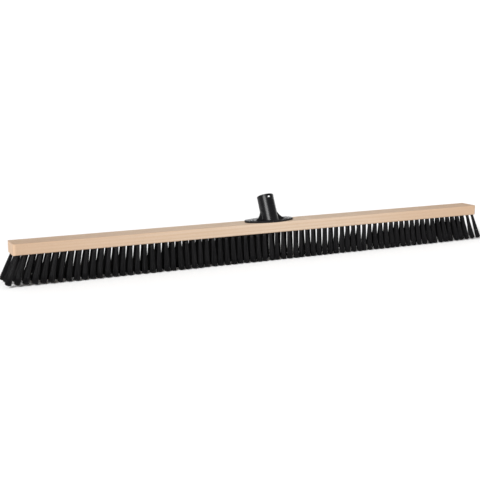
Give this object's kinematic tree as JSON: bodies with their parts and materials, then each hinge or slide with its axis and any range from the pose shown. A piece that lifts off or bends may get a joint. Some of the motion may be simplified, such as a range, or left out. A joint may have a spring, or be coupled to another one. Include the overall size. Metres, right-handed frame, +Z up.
{
  "type": "push broom head",
  "caption": "Long wooden push broom head with rows of black bristle tufts and a leaning black plastic handle socket screwed to its top.",
  "frame": {"origin": "middle of the head on the plane of the bristle tips, the floor that it stands on", "axes": "+X along the block, +Y towards the side that the socket leans to, +Z up"},
  "size_m": [1.0313, 0.0612, 0.1279],
  "materials": {
    "wood": "planed beech, uncoated",
    "socket": "semi-gloss moulding",
    "screws": "zinc plated",
    "anchors": "drawn wire",
    "bristles": "satin filament"
  },
  "bodies": {
    "root": {"brush_block": "wood", "handle_socket": "socket", "socket_screws": "screws", "front_row_anchors": "anchors", "middle_row_anchors": "anchors", "back_row_anchors": "anchors", "front_tufts_01": "bristles", "front_tufts_02": "bristles", "front_tufts_03": "bristles", "front_tufts_04": "bristles", "front_tufts_05": "bristles", "front_tufts_06": "bristles", "front_tufts_07": "bristles", "front_tufts_08": "bristles", "front_tufts_09": "bristles", "front_tufts_10": "bristles", "front_tufts_11": "bristles", "front_tufts_12": "bristles", "front_tufts_13": "bristles", "front_tufts_14": "bristles", "front_tufts_15": "bristles", "front_tufts_16": "bristles", "middle_tufts_01": "bristles", "middle_tufts_02": "bristles", "middle_tufts_03": "bristles", "middle_tufts_04": "bristles", "middle_tufts_05": "bristles", "middle_tufts_06": "bristles", "middle_tufts_07": "bristles", "middle_tufts_08": "bristles", "middle_tufts_09": "bristles", "middle_tufts_10": "bristles", "middle_tufts_11": "bristles", "middle_tufts_12": "bristles", "middle_tufts_13": "bristles", "middle_tufts_14": "bristles", "middle_tufts_15": "bristles", "middle_tufts_16": "bristles", "back_tufts_01": "bristles", "back_tufts_02": "bristles", "back_tufts_03": "bristles", "back_tufts_04": "bristles", "back_tufts_05": "bristles", "back_tufts_06": "bristles", "back_tufts_07": "bristles", "back_tufts_08": "bristles", "back_tufts_09": "bristles", "back_tufts_10": "bristles", "back_tufts_11": "bristles", "back_tufts_12": "bristles", "back_tufts_13": "bristles", "back_tufts_14": "bristles", "back_tufts_15": "bristles", "back_tufts_16": "bristles"}
  },
  "joints": []
}
